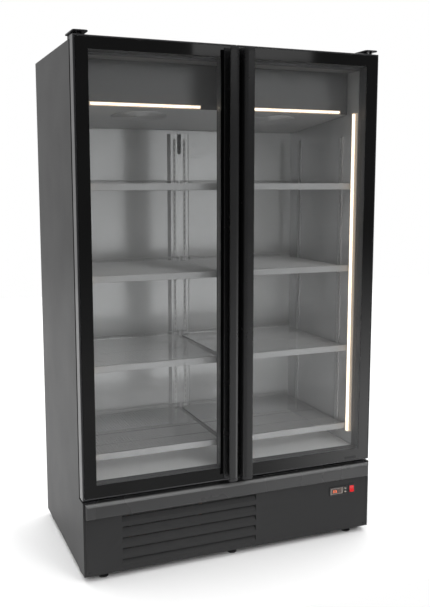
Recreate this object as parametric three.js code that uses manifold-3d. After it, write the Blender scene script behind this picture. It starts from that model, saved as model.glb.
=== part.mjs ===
// Two-door glass merchandiser: an upright refrigerated display cabinet.
// Millimetres, +Z up. In this source x = 0 is the centre line, y = 0 is the doors' front plane with +y
// towards the back, and z = 0 is the floor. The exported group moves y so that the origin is the bottom
// centre of the whole object. Pieces that come in left and right pairs are made for the right side, x > 0,
// and mirrored.

import * as THREE from "three";
import { mergeVertices } from "three/addons/utils/BufferGeometryUtils.js";
import Module from "manifold-3d";

const wasm = await Module();
wasm.setup();

// ---- Driving dimensions -----------------------------------------------------------------------------

const HALF_WIDTH = 625;
const BODY_BACK = 716;
const HANDLE_REACH = 50;
const BASE_BOTTOM = 25;
const STEP_TOP = 316;
const BODY_FRONT = 60;
const BODY_TOP = 2007;
const SKIN = 1.5;
const GAP = 0.3;

const CAVITY_HALF_WIDTH = 580;
const CAVITY_FLOOR = 371;
const CAVITY_CEILING = 1959;
const CAVITY_BACK = 667;
const LINER = 2;

const DOOR_BOTTOM = 325;
const DOOR_TOP = 2017;
const DOOR_INNER_EDGE = 2.5;
const DOOR_OUTER_EDGE = 624.5;
const DOOR_THICKNESS = 48;
const CLEAR_GLASS = { x0: 66.6, x1: 570.8, z0: 379, z1: 1969 };
const HINGE = { x: 600, y: 24, pinRadius: 5, boreRadius: 5.3 };

const SHELF_LEVELS = 4;
const SHELF_FIRST = 448;
const SHELF_PITCH = 347;

const LOUVRES = 5;
const LOUVRE_PITCH = 43.25;
const LOUVRE_TOP = 245;
const LOUVRE_HEIGHT = 24.5;
const LOUVRE_DEPTH = 14;
const GRILLE = { x0: -475, x1: 90 };

const CONTROLLER = { x: 476, z: 203, width: 87, height: 38 };
const SWITCH = { x: 542, z: 203.5, width: 31, height: 40 };

const FOOT_X = [-541, 0, 541];
const FOOT_Y = 40;
const WHEEL_Y = [92, 640];
const WHEEL_RADIUS = 50;
const AXLE_RADIUS = 5;

const EVAPORATOR_FAN = { x: 290, y: 330, z: 1826, radius: 96, opening: 105 };
const CONDENSER_FAN = { x: -290, y: 154, z: 180, radius: 90, opening: 98 };

// ---- Finishes ---------------------------------------------------------------------------------------

const finish = (color, roughness, metalness, extra = {}) => ({ color, roughness, metalness, ...extra });

const FINISHES = {
  anthracite: finish(0x3a3b3d, 0.45, 0.2),
  sill: finish(0x4b4c4e, 0.35, 0.3),
  gloss_black: finish(0x0c0c0d, 0.12, 0),
  handle: finish(0x2a2a2c, 0.35, 0.2),
  glass: finish(0xdfe8ea, 0.03, 0, { transparent: true, opacity: 0.15 }),
  rubber: finish(0x161616, 0.85, 0),
  liner: finish(0x8a8b8c, 0.5, 0.2),
  shelf: finish(0xa3a4a4, 0.4, 0.3),
  lamp: finish(0xfff3dc, 0.4, 0, { emissive: 0xffe8c0 }),
  foam: finish(0xe6dcae, 0.9, 0),
  steel: finish(0x9a9c9e, 0.4, 0.9),
  dark_steel: finish(0x222326, 0.4, 0.5),
  aluminium: finish(0xb9bcbe, 0.4, 0.9),
  black_plastic: finish(0x141415, 0.6, 0),
  red_plastic: finish(0xc0141c, 0.3, 0),
  grey_plastic: finish(0x8c8378, 0.5, 0),
};

// ---- Geometry helpers -------------------------------------------------------------------------------

// A box from its lowest and highest corner values.
function box(x0, x1, y0, y1, z0, z1) {
  return new THREE.BoxGeometry(x1 - x0, y1 - y0, z1 - z0)
    .translate((x0 + x1) / 2, (y0 + y1) / 2, (z0 + z1) / 2);
}

// A cylinder along one axis, from a to b on it. The other two coordinates are given in x, y, z order.
function rod(axis, radius, a, b, [u, v], sides = 24) {
  const geometry = new THREE.CylinderGeometry(radius, radius, b - a, sides);
  const middle = (a + b) / 2;
  if (axis === "x") return geometry.rotateZ(-Math.PI / 2).translate(middle, u, v);
  if (axis === "y") return geometry.translate(u, middle, v);
  return geometry.rotateX(Math.PI / 2).translate(u, v, middle);
}

function outline(points) {
  return new THREE.Shape(points.map(([a, b]) => new THREE.Vector2(a, b)));
}

function extrude(shape, depth) {
  return new THREE.ExtrudeGeometry(shape, { depth, bevelEnabled: false });
}

// Extrusions of an outline drawn in (y, z), (x, z) and (x, y).
const ALONG_X = new THREE.Matrix4().makeBasis(
  new THREE.Vector3(0, 1, 0),
  new THREE.Vector3(0, 0, 1),
  new THREE.Vector3(1, 0, 0),
);

function alongX(points, x0, x1) {
  return extrude(outline(points), x1 - x0).applyMatrix4(ALONG_X).translate(x0, 0, 0);
}

function alongY(points, y0, y1) {
  return extrude(outline(points), y1 - y0).rotateX(Math.PI / 2).translate(0, y1, 0);
}

function alongZ(points, z0, z1) {
  return extrude(outline(points), z1 - z0).translate(0, 0, z0);
}

// A body of revolution about Z at (x, y), from a profile of [radius, z] points.
function turned(profile, x, y, sides = 24) {
  const points = profile.map(([r, z]) => new THREE.Vector2(r, z));
  return new THREE.LatheGeometry(points, sides).rotateX(Math.PI / 2).translate(x, y, 0);
}

function toSolid(geometry) {
  const bare = geometry.clone();
  bare.deleteAttribute("normal");
  bare.deleteAttribute("uv");
  const merged = mergeVertices(bare, 1e-4);
  const mesh = new wasm.Mesh({
    numProp: 3,
    vertProperties: merged.attributes.position.array,
    triVerts: new Uint32Array(merged.index.array),
  });
  return new wasm.Manifold(mesh);
}

function toGeometry(manifold) {
  const { vertProperties, triVerts } = manifold.getMesh();
  const geometry = new THREE.BufferGeometry();
  geometry.setAttribute("position", new THREE.BufferAttribute(vertProperties, 3));
  geometry.setIndex(new THREE.BufferAttribute(triVerts, 1));
  return geometry;
}

function join(...parts) {
  return toGeometry(parts.map(toSolid).reduce((whole, part) => whole.add(part)));
}

function cut(base, ...tools) {
  return toGeometry(tools.map(toSolid).reduce((whole, tool) => whole.subtract(tool), toSolid(base)));
}

// ---- The object and its assembly functions ----------------------------------------------------------

const merchandiser = new THREE.Group();

function add(name, geometry, finishName, parent = merchandiser) {
  const shaded = geometry.index ? geometry.toNonIndexed() : geometry;
  shaded.computeVertexNormals();
  const mesh = new THREE.Mesh(shaded, new THREE.MeshStandardMaterial(FINISHES[finishName]));
  mesh.name = name;
  parent.add(mesh);
  return mesh;
}

// The same piece on the left and, mirrored, on the right: the geometry given is the right one.
function addPair(name, geometry, finishName) {
  add(`right_${name}`, geometry, finishName);
  add(`left_${name}`, geometry, finishName).scale.x = -1;
}

// ---- Cabinet skin -----------------------------------------------------------------------------------

// Each side sheet steps forward below the doors, where a flange turns in at the front and on top of the
// step. The sheet's own edges stop a little short of the flanges' faces, as they do round a bend.
function sidePanel() {
  const bend = 0.4;
  const sheet = alongX(
    [
      [bend, BASE_BOTTOM],
      [BODY_BACK, BASE_BOTTOM],
      [BODY_BACK, BODY_TOP],
      [BODY_FRONT, BODY_TOP],
      [BODY_FRONT, STEP_TOP - bend],
      [bend, STEP_TOP - bend],
    ],
    HALF_WIDTH - SKIN,
    HALF_WIDTH,
  );
  const [x0, x1] = [HALF_WIDTH - 12, HALF_WIDTH - bend];
  const frontFlange = box(x0, x1, 0, SKIN, BASE_BOTTOM + bend, STEP_TOP - 0.9);
  const topFlange = box(x0 + bend, x1, 0.9, BODY_FRONT - bend, STEP_TOP - SKIN, STEP_TOP);
  return join(sheet, frontFlange, topFlange);
}

const INSIDE_SKIN = HALF_WIDTH - SKIN - GAP;
const BACK_SHEET_FRONT = BODY_BACK - SKIN;

function topPanel() {
  return box(-INSIDE_SKIN, INSIDE_SKIN, BODY_FRONT, BACK_SHEET_FRONT - GAP, BODY_TOP - SKIN, BODY_TOP);
}

// The back sheet has vent slots behind the compressor and condenser, and an opening for the mains inlet.
const INLET = { x0: -558, x1: -506, z0: 149, z1: 181 };

function backPanel() {
  const sheet = box(-INSIDE_SKIN, INSIDE_SKIN, BACK_SHEET_FRONT, BODY_BACK, BASE_BOTTOM + 2, BODY_TOP);
  const openings = [box(INLET.x0, INLET.x1, BACK_SHEET_FRONT - 1, BODY_BACK + 1, INLET.z0, INLET.z1)];
  for (const x of [-290, 290]) {
    for (let row = 0; row < 7; row++) {
      const z = 110 + row * 24;
      openings.push(box(x - 110, x + 110, BACK_SHEET_FRONT - 1, BODY_BACK + 1, z, z + 9));
    }
  }
  return cut(sheet, ...openings);
}

// ---- Insulated box ----------------------------------------------------------------------------------

const FRAME_BACK = BODY_FRONT + 14;
const FRAME_OPENING = CAVITY_HALF_WIDTH + 1;

function faceFrame() {
  const [floor, ceiling] = [STEP_TOP + 2, BODY_TOP - SKIN - GAP];
  const ring = box(-INSIDE_SKIN, INSIDE_SKIN, BODY_FRONT, FRAME_BACK, floor, ceiling);
  const opening = box(-FRAME_OPENING, FRAME_OPENING, 0, 100, CAVITY_FLOOR, CAVITY_CEILING);
  return cut(ring, opening);
}

function centreMullion() {
  return alongZ(
    [
      [-38, BODY_FRONT],
      [38, BODY_FRONT],
      [38, 90],
      [30, 98],
      [-30, 98],
      [-38, 90],
    ],
    CAVITY_FLOOR + GAP,
    CAVITY_CEILING - GAP,
  );
}

// An open-fronted tub with four upright ribs that carry the shelves' sides.
const RIB = { y: [200, 572], halfWidth: 12, height: 4, bottom: 400, top: 1700 };

function innerLiner() {
  const front = FRAME_BACK + GAP;
  const half = CAVITY_HALF_WIDTH;
  const [floor, ceiling] = [CAVITY_FLOOR, CAVITY_CEILING];
  const outer = box(
    -half - LINER,
    half + LINER,
    front,
    CAVITY_BACK + LINER,
    floor - LINER,
    ceiling + LINER,
  );
  const shell = cut(outer, box(-half, half, front - 1, CAVITY_BACK, floor, ceiling));
  const ribs = [];
  for (const y of RIB.y) {
    const [y0, y1] = [y - RIB.halfWidth, y + RIB.halfWidth];
    ribs.push(box(half - RIB.height, half + 1, y0, y1, RIB.bottom, RIB.top));
    ribs.push(box(-half - 1, RIB.height - half, y0, y1, RIB.bottom, RIB.top));
  }
  return join(shell, ...ribs);
}

function insulationFoam() {
  const inner = CAVITY_HALF_WIDTH + LINER + GAP;
  const floor = STEP_TOP + 2;
  const ceiling = BODY_TOP - SKIN - GAP;
  const outer = box(-INSIDE_SKIN, INSIDE_SKIN, FRAME_BACK + GAP, BACK_SHEET_FRONT - GAP, floor, ceiling);
  const hollow = box(
    -inner,
    inner,
    0,
    CAVITY_BACK + LINER + GAP,
    CAVITY_FLOOR - LINER - GAP,
    CAVITY_CEILING + LINER + GAP,
  );
  return cut(outer, hollow);
}

// A raised channel down the middle of the back wall carries the shelves' rear corners. Its slot returns
// air.
const COLUMN_FRONT = 650;
const COLUMN_TOP = 1722;

function rearColumn() {
  const back = CAVITY_BACK - GAP;
  const channel = alongZ(
    [
      [-52, back],
      [-41, COLUMN_FRONT],
      [41, COLUMN_FRONT],
      [52, back],
    ],
    CAVITY_FLOOR + GAP,
    COLUMN_TOP,
  );
  const slot = [
    [-9, COLUMN_TOP + 1],
    [-9, 1640],
    [-6.4, 1633.6],
    [0, 1631],
    [6.4, 1633.6],
    [9, 1640],
    [9, COLUMN_TOP + 1],
  ];
  return cut(channel, alongY(slot, COLUMN_FRONT - 1, COLUMN_FRONT + 8));
}

// ---- Shelves ----------------------------------------------------------------------------------------

// A deck with a tall front strip, a raised back stop and two side rims below, centred on its strip's height.
const SHELF = { x0: 4, x1: 572, front: 111, back: 646 };

function shelf(z) {
  const { x0, x1, front, back } = SHELF;
  const section = [
    [front, z - 13],
    [front + 3, z - 13],
    [front + 3, z + 4],
    [back, z + 4],
    [back, z + 26],
    [back - 3, z + 26],
    [back - 3, z + 8],
    [front + 3, z + 8],
    [front + 3, z + 13],
    [front, z + 13],
  ];
  return join(
    alongX(section, x0, x1),
    box(x0 + 0.5, x0 + 3.5, front + 1.5, back - 1.5, z - 6, z + 6),
    box(x1 - 3.5, x1 - 0.5, front + 1.5, back - 1.5, z - 6, z + 6),
  );
}

// ---- Evaporator -------------------------------------------------------------------------------------

const HOUSING = {
  half: 575,
  front: 156,
  frontBottom: 1788,
  back: 642,
  backBottom: 1740,
  lip: 12,
  sheet: 2,
};
const MOTOR_RADIUS = 34;
const SHAFT_RADIUS = 4;

// A folded sheet under the ceiling: upright front, underside sloping down to a rear lip, closed ends, two
// fan openings, and a motor with its shaft hung over each opening on a strap from the front.
function evaporatorHousing() {
  const { half, front, frontBottom, back, backBottom, lip, sheet } = HOUSING;
  const top = CAVITY_CEILING - GAP;
  const outer = alongX(
    [
      [front, top],
      [front, frontBottom],
      [back, backBottom],
      [back, top],
    ],
    -half,
    half,
  );
  const hollow = alongX(
    [
      [front + sheet, top + 1],
      [front + sheet, frontBottom + sheet],
      [back - sheet, backBottom + sheet],
      [back - sheet, backBottom + lip],
      [back + 1, backBottom + lip],
      [back + 1, top + 1],
    ],
    sheet - half,
    half - sheet,
  );
  const pieces = [cut(outer, hollow)];
  const holes = [];
  for (const side of [-1, 1]) {
    const at = [side * EVAPORATOR_FAN.x, EVAPORATOR_FAN.y];
    holes.push(rod("z", EVAPORATOR_FAN.opening, 1700, 1800, at, 28));
    pieces.push(rod("z", MOTOR_RADIUS, 1866, 1903, at, 16));
    pieces.push(rod("z", SHAFT_RADIUS, 1822, 1870, at, 12));
    pieces.push(box(at[0] - 15, at[0] + 15, front + 1, at[1], 1900, 1904));
  }
  return cut(join(...pieces), ...holes);
}

// A finned block: a comb outline with its slots on the front, drawn in (x, y).
function finnedBlock(x0, x1, y0, y1, z0, z1, slots, slotDepth) {
  const points = [
    [x0, y1],
    [x0, y0],
  ];
  const pitch = (x1 - x0) / slots;
  for (let i = 0; i < slots; i++) {
    const a = x0 + pitch * (i + 0.3);
    const b = x0 + pitch * (i + 0.7);
    points.push([a, y0], [a, y0 + slotDepth], [b, y0 + slotDepth], [b, y0]);
  }
  points.push([x1, y0], [x1, y1]);
  return alongZ(points, z0, z1);
}

// A fan about Z at the origin: a hub with a shaft bore and pitched blades.
const FAN_BLADES = 5;

function fanBlades(radius, hubRadius, height) {
  const parts = [rod("z", hubRadius, 0, height, [0, 0])];
  for (let i = 0; i < FAN_BLADES; i++) {
    const blade = new THREE.BoxGeometry(radius - hubRadius + 6, radius * 0.52, 2.4)
      .rotateX(THREE.MathUtils.degToRad(24))
      .translate((radius + hubRadius) / 2 - 3, 0, height / 2)
      .rotateZ((i / FAN_BLADES) * 2 * Math.PI);
    parts.push(blade);
  }
  return cut(join(...parts), rod("z", SHAFT_RADIUS + GAP, -1, height + 1, [0, 0], 16));
}

// ---- Doors ------------------------------------------------------------------------------------------

// The frame is one ring, rounded at its outer front edge, rebated for the front pane, and bored for both
// pins.
const REBATE = { x0: 8.5, x1: 617.5, z0: DOOR_BOTTOM + 6, z1: DOOR_TOP - 6, depth: 3.5 };
const PIN_DEPTH = 16;

function doorFrame() {
  const [x0, x1] = [DOOR_INNER_EDGE, DOOR_OUTER_EDGE];
  const slab = alongZ(
    [
      [x0, 0],
      [x1 - 6, 0],
      [x1 - 1.8, 1.8],
      [x1, 6],
      [x1, DOOR_THICKNESS],
      [x0, DOOR_THICKNESS],
    ],
    DOOR_BOTTOM,
    DOOR_TOP,
  );
  const { x0: gx0, x1: gx1, z0: gz0, z1: gz1 } = CLEAR_GLASS;
  return cut(
    slab,
    box(REBATE.x0, REBATE.x1, -1, REBATE.depth, REBATE.z0, REBATE.z1),
    box(gx0, gx1, -1, 100, gz0, gz1),
    rod("z", HINGE.boreRadius, DOOR_BOTTOM - 1, DOOR_BOTTOM + PIN_DEPTH, [HINGE.x, HINGE.y]),
    rod("z", HINGE.boreRadius, DOOR_TOP - PIN_DEPTH, DOOR_TOP + 1, [HINGE.x, HINGE.y]),
  );
}

function frontPane() {
  const { x0, x1, z0, z1, depth } = REBATE;
  return box(x0 + 0.5, x1 - 0.5, GAP, depth - GAP, z0 + 0.5, z1 - 0.5);
}

const REAR_PANE_FRONT = 22;
const REAR_PANE_THICKNESS = 3;

function rearPane() {
  const { x0, x1, z0, z1 } = CLEAR_GLASS;
  const back = REAR_PANE_FRONT + REAR_PANE_THICKNESS;
  return box(x0 + GAP, x1 - GAP, REAR_PANE_FRONT, back, z0 + GAP, z1 - GAP);
}

const GASKET = { x0: 12, x1: 599, z0: 350, z1: 1982, width: 18 };

function gasket() {
  const [y0, y1] = [DOOR_THICKNESS + GAP, BODY_FRONT - GAP];
  const { x0, x1, z0, z1, width: w } = GASKET;
  return cut(box(x0, x1, y0, y1, z0, z1), box(x0 + w, x1 - w, y0 - 1, y1 + 1, z0 + w, z1 - w));
}

// A full-height grip: its outer wall stands at the door's meeting edge and turns towards the glass in a
// lip, which leaves a finger gap behind it.
const GRIP_BOTTOM = 335;
const GRIP_TOP = 2003;

function grip() {
  const reach = -HANDLE_REACH;
  return alongZ(
    [
      [8, 0],
      [8, reach + 14],
      [9.5, reach + 8],
      [13.5, reach + 3.5],
      [19, reach + 0.8],
      [26, reach],
      [49, reach],
      [50, reach + 1],
      [50, reach + 5],
      [49, reach + 6],
      [27, reach + 6],
      [23.5, reach + 7.5],
      [22, reach + 11],
      [22, -6],
      [24, -4],
      [55, -4],
      [55, 0],
    ],
    GRIP_BOTTOM,
    GRIP_TOP,
  );
}

const HINGE_PLATE_BOTTOM = 2028;
const HINGE_PLATE_TOP = 2034;

function topHinge() {
  const plate = alongZ(
    [
      [567, 14],
      [577, 4],
      [613, 4],
      [623, 14],
      [623, 124],
      [617, 130],
      [573, 130],
      [567, 124],
    ],
    HINGE_PLATE_BOTTOM,
    HINGE_PLATE_TOP,
  );
  const foot = box(575, 615, 66, 128, BODY_TOP + GAP, HINGE_PLATE_BOTTOM + 1);
  const pin = rod("z", HINGE.pinRadius, DOOR_TOP - 14, HINGE_PLATE_BOTTOM + 1, [HINGE.x, HINGE.y]);
  return join(plate, foot, pin);
}

function bottomHinge() {
  const bottom = SILL_TOP + GAP;
  const plate = alongZ(
    [
      [560, 16],
      [568, 8],
      [604, 8],
      [612, 16],
      [612, BODY_FRONT - GAP],
      [560, BODY_FRONT - GAP],
    ],
    bottom,
    bottom + 4.7,
  );
  const tab = box(563, 609, BODY_FRONT - 3, BODY_FRONT - GAP - 0.3, bottom + 1, DOOR_BOTTOM - 2);
  const pin = rod("z", HINGE.pinRadius, bottom + 2, DOOR_BOTTOM + 12, [HINGE.x, HINGE.y]);
  return join(plate, tab, pin);
}

// ---- Base -------------------------------------------------------------------------------------------

// Sill section in (y, z): a rounded front nose that covers the panel's top edge, and a ledge under the
// doors with a shallow groove.
const SILL_TOP = 312;
const SILL_BAR_END = 580;
const SILL_NOSE = [
  [-GAP, 253],
  [-9, 253],
  [-12.5, 255.5],
  [-14, 259],
  [-14, 300],
  [-12.8, 305],
  [-10, 308.8],
  [-5.5, 311.3],
  [-GAP, SILL_TOP],
];

function sillSection() {
  return [
    ...SILL_NOSE,
    [18, SILL_TOP],
    [18.8, SILL_TOP - 1],
    [21.2, SILL_TOP - 1],
    [22, SILL_TOP],
    [BODY_FRONT - GAP, SILL_TOP],
    [BODY_FRONT - GAP, SILL_TOP - 3],
    [-GAP, SILL_TOP - 3],
  ];
}

// The cap's nose laps over the side sheet's flange; the rest stops beside it.
function sillCap() {
  const flange = HALF_WIDTH - 12 - GAP;
  const bar = alongX(sillSection(), SILL_BAR_END + GAP, flange + 4);
  const besideFlange = box(flange, flange + 10, -GAP - 0.2, 100, 200, 400);
  const corner = alongZ(
    [
      [flange - 3, -20],
      [flange + 10, -20],
      [flange + 10, -7],
      [flange + 4, -7],
    ],
    200,
    400,
  );
  return cut(bar, besideFlange, corner);
}

// One louvre between two window ends: a sheet sloping inwards to its top, with a gusset at each end.
function louvre(top) {
  const bottom = top - LOUVRE_HEIGHT;
  const { x0, x1 } = GRILLE;
  const innerTop = top - 7;
  const sheet = alongX(
    [
      [0.3, bottom - 1],
      [1.7, bottom - 1],
      [LOUVRE_DEPTH, innerTop],
      [LOUVRE_DEPTH - 2.2, innerTop],
      [0.3, bottom + 0.5],
    ],
    x0 - 1,
    x1 + 1,
  );
  const gusset = [
    [0.4, bottom - 1.3],
    [1.6, bottom - 1.3],
    [LOUVRE_DEPTH + 0.5, innerTop + 0.5],
    [LOUVRE_DEPTH + 0.5, top],
    [1.6, top + 2],
    [0.4, top + 2],
  ];
  return [sheet, alongX(gusset, x0 - 1.5, x0 + 0.5), alongX(gusset, x1 - 0.5, x1 + 1.5)];
}

function lowerFrontPanel() {
  const edge = HALF_WIDTH - 12 - GAP;
  const sheet = box(-edge, edge, 0, 2, BASE_BOTTOM, 306);
  const windows = [];
  const louvres = [];
  for (let i = 0; i < LOUVRES; i++) {
    const top = LOUVRE_TOP - i * LOUVRE_PITCH;
    windows.push(box(GRILLE.x0, GRILLE.x1, -1, 3, top - LOUVRE_HEIGHT, top));
    louvres.push(...louvre(top));
  }
  const c = CONTROLLER;
  const s = SWITCH;
  windows.push(box(c.x - 39.5, c.x + 39.5, -1, 3, c.z - 15.5, c.z + 15.5));
  windows.push(box(s.x - 14, s.x + 14, -1, 3, s.z - 18.5, s.z + 18.5));
  return join(cut(sheet, ...windows), ...louvres);
}

const TRAY = { half: 588, front: 17, back: 700, deck: 62, rimBottom: 27, ledge: 106, sheet: 2 };
const AXLE_Z = WHEEL_RADIUS;

// Deck with downturned rims, side walls that rise over the wheels and turn out to the skin, bosses for
// the feet, a drain pan rim, and four stub axles with retaining heads.
function baseTray() {
  const { half, front, back, deck, rimBottom, ledge, sheet } = TRAY;
  const deckSection = [
    [front, rimBottom],
    [front + sheet, rimBottom],
    [front + sheet, deck - sheet],
    [back - sheet, deck - sheet],
    [back - sheet, rimBottom],
    [back, rimBottom],
    [back, deck],
    [front, deck],
  ];
  const parts = [alongX(deckSection, 1 - half, half - 1)];
  const bores = [];
  for (const side of [-1, 1]) {
    const span = (a, b) => (side > 0 ? [a, b] : [-b, -a]);
    const wallSection = [
      [half - sheet, rimBottom - 0.5],
      [half, rimBottom - 0.5],
      [half, ledge - sheet],
      [INSIDE_SKIN, ledge - sheet],
      [INSIDE_SKIN, ledge],
      [half - sheet, ledge],
    ];
    const points = wallSection.map(([x, z]) => [side * x, z]);
    parts.push(alongY(points, front + 0.5, back - 0.5));
    for (const y of WHEEL_Y) {
      parts.push(rod("x", 9, ...span(half - 1.5, 596.5), [y, AXLE_Z], 12));
      parts.push(rod("x", AXLE_RADIUS, ...span(592, 621.4), [y, AXLE_Z], 12));
      parts.push(rod("x", 9, ...span(620.4, 622.6), [y, AXLE_Z], 12));
    }
  }
  for (const x of FOOT_X) {
    parts.push(rod("z", 13, 45, deck - 1, [x, FOOT_Y], 16));
    bores.push(rod("z", AXLE_RADIUS + GAP, 40, deck + 1, [x, FOOT_Y], 16));
  }
  parts.push(cut(box(-60, 120, 440, 640, deck - 1, 92), box(-58, 118, 442, 638, deck - 2, 100)));
  return cut(join(...parts), ...bores);
}

function wheel() {
  const profile = [
    [AXLE_RADIUS + GAP, 0],
    [14, 0],
    [16, 4],
    [36, 4],
    [38, 0],
    [46, 0],
    [WHEEL_RADIUS, 4],
    [WHEEL_RADIUS, 18],
    [46, 22],
    [AXLE_RADIUS + GAP, 22],
    [AXLE_RADIUS + GAP, 0],
  ];
  return turned(profile, 0, 0, 20).rotateY(Math.PI / 2).translate(597.4, 0, 0);
}

function levellingFoot(x) {
  const profile = [
    [0, 0],
    [17, 0],
    [19, 2],
    [19, 6],
    [10, 11],
    [AXLE_RADIUS, 12],
    [AXLE_RADIUS, 70],
    [0, 70],
  ];
  return turned(profile, x, FOOT_Y, 16);
}

// ---- Controls ---------------------------------------------------------------------------------------

const BUTTON_X = CONTROLLER.x + 33;
const BUTTON_Z = [CONTROLLER.z + 7, CONTROLLER.z - 7];

function controller() {
  const { x, z, width, height } = CONTROLLER;
  const bezel = box(x - width / 2, x + width / 2, -4, -GAP, z - height / 2, z + height / 2);
  const body = box(x - 38, x + 38, -1, 58, z - 14, z + 14);
  const window = box(x - 37, x + 22, -5, -2.8, z - 13, z + 13);
  const holes = BUTTON_Z.map((bz) => box(BUTTON_X - 5, BUTTON_X + 5, -5, 1.5, bz - 4.5, bz + 4.5));
  return cut(join(bezel, body), window, ...holes);
}

function controllerButton(z) {
  return box(BUTTON_X - 4.5, BUTTON_X + 4.5, -5, -1.2, z - 4, z + 4);
}

function switchBezel() {
  const { x, z, width, height } = SWITCH;
  const rim = box(x - width / 2, x + width / 2, -3, -GAP, z - height / 2, z + height / 2);
  const body = box(x - 13, x + 13, -1, 30, z - 17.5, z + 17.5);
  return cut(join(rim, body), box(x - 11, x + 11, -4, 14, z - 15.5, z + 15.5));
}

// The rocker's shallow V face, drawn about its pivot and tilted to the "on" side.
const ROCKER_PIVOT_Y = 3;
const ROCKER_TILT = THREE.MathUtils.degToRad(7);

function rocker() {
  const face = [
    [-7.5, -13.6],
    [-5.5, 0],
    [-7.5, 13.6],
    [1, 13.6],
    [4, 3],
    [4, -3],
    [1, -13.6],
  ];
  return alongX(face, -10.6, 10.6)
    .rotateX(-ROCKER_TILT)
    .translate(SWITCH.x, ROCKER_PIVOT_Y, SWITCH.z);
}

// ---- Machine compartment ----------------------------------------------------------------------------

// Condenser block, square shroud with a round opening, and a motor on a strap behind it.
function condenserUnit() {
  const { x, z } = CONDENSER_FAN;
  const [x0, x1, z0, z1] = [x - 150, x + 150, z - 105, z + 105];
  const coil = finnedBlock(x0, x1, 26, 78, z0, z1, 14, 24);
  const shroud = box(x0 + 0.5, x1 - 0.5, 76, 110, z0 + 0.5, z1 - 0.5);
  const hollow = box(x0 + 2.5, x1 - 2.5, 79, 108, z0 + 2.5, z1 - 2.5);
  const opening = rod("y", CONDENSER_FAN.opening, 100, 120, [x, z], 28);
  const strap = [
    box(x - 12, x + 12, 206, 209, z0 + 1, z1 - 1),
    box(x - 11, x + 11, 109, 208, z0 + 1.5, z0 + 4),
    box(x - 11, x + 11, 109, 208, z1 - 4, z1 - 1.5),
  ];
  const motor = [
    rod("y", MOTOR_RADIUS - 1, 158, 207, [x, z], 16),
    rod("y", SHAFT_RADIUS, 122, 160, [x, z], 12),
  ];
  return join(coil, cut(shroud, hollow, opening), ...strap, ...motor);
}

const COMPRESSOR = { x: 290, y: 500 };

function compressor() {
  const { x, y } = COMPRESSOR;
  const shell = turned(
    [
      [0, 76],
      [78, 76],
      [90, 92],
      [96, 140],
      [96, 170],
      [90, 225],
      [72, 252],
      [40, 264],
      [0, 267],
    ],
    x,
    y,
  );
  const plate = box(x - 110, x + 110, y - 95, y + 95, 74, 78);
  const grommets = [];
  for (const i of [-1, 1]) {
    for (const j of [-1, 1]) {
      grommets.push(rod("z", 12, TRAY.deck + GAP, 75, [x + i * 95, y + j * 80], 12));
    }
  }
  const pipes = [
    rod("z", 5, 200, 300, [x + 80, y], 12),
    rod("x", 5, x - 120, x - 80, [y - 20, 130], 12),
  ];
  const terminalBox = box(x - 30, x + 30, y - 112, y - 80, 120, 175);
  return join(shell, plate, ...grommets, ...pipes, terminalBox);
}

function mainsInletBox() {
  const { x0, x1, z0, z1 } = INLET;
  const enclosure = box(x0 - 20, x1 + 20, 600, 660, TRAY.deck + GAP, z1 + 40);
  const inlet = box(x0 + 1, x1 - 1, 655, BODY_BACK, z0 + 1, z1 - 1);
  const recess = box(x0 + 6, x1 - 6, BODY_BACK - 18, BODY_BACK + 1, z0 + 5, z1 - 5);
  const pins = [-12, 0, 12].map((dx) => {
    const x = (x0 + x1) / 2 + dx;
    return box(x - 1, x + 1, BODY_BACK - 19, BODY_BACK - 4, 161, 167);
  });
  return join(cut(join(enclosure, inlet), recess), ...pins);
}

// ---- Lamps ------------------------------------------------------------------------------------------

function horizontalLamp() {
  const back = HOUSING.front - GAP;
  return alongX(
    [
      [back, 1789],
      [back - 8, 1789],
      [back - 14, 1793],
      [back - 14, 1799],
      [back - 8, 1804],
      [back, 1804],
    ],
    92,
    535,
  );
}

function verticalLamp() {
  const wall = CAVITY_HALF_WIDTH - GAP;
  return alongZ(
    [
      [wall, 78],
      [wall, 98],
      [wall - 13, 98],
      [wall - 19, 92],
      [wall - 19, 84],
      [wall - 13, 78],
    ],
    430,
    1790,
  );
}

// ---- Assembly ---------------------------------------------------------------------------------------

addPair("side_panel", sidePanel(), "anthracite");
add("top_panel", topPanel(), "anthracite");
add("back_panel", backPanel(), "steel");
add("insulation_foam", insulationFoam(), "foam");
add("inner_liner", innerLiner(), "liner");
add("face_frame", faceFrame(), "anthracite");
add("centre_mullion", centreMullion(), "liner");
add("rear_column", rearColumn(), "liner");

for (let level = 0; level < SHELF_LEVELS; level++) {
  addPair(`shelf_${level + 1}`, shelf(SHELF_FIRST + level * SHELF_PITCH), "shelf");
}

add("evaporator_housing", evaporatorHousing(), "liner");
add("evaporator_coil", finnedBlock(-440, 440, 440, 610, 1790, 1930, 22, 60), "aluminium");
for (const [side, sign] of [["left", -1], ["right", 1]]) {
  const fan = add(`${side}_evaporator_fan`, fanBlades(EVAPORATOR_FAN.radius, 22, 34), "black_plastic");
  fan.position.set(sign * EVAPORATOR_FAN.x, EVAPORATOR_FAN.y, EVAPORATOR_FAN.z);
}
addPair("horizontal_lamp", horizontalLamp(), "lamp");
addPair("vertical_lamp", verticalLamp(), "lamp");

addPair("door_frame", doorFrame(), "gloss_black");
addPair("front_pane", frontPane(), "glass");
addPair("rear_pane", rearPane(), "glass");
addPair("gasket", gasket(), "rubber");
addPair("grip", grip(), "handle");
addPair("top_hinge", topHinge(), "dark_steel");
addPair("bottom_hinge", bottomHinge(), "dark_steel");

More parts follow.
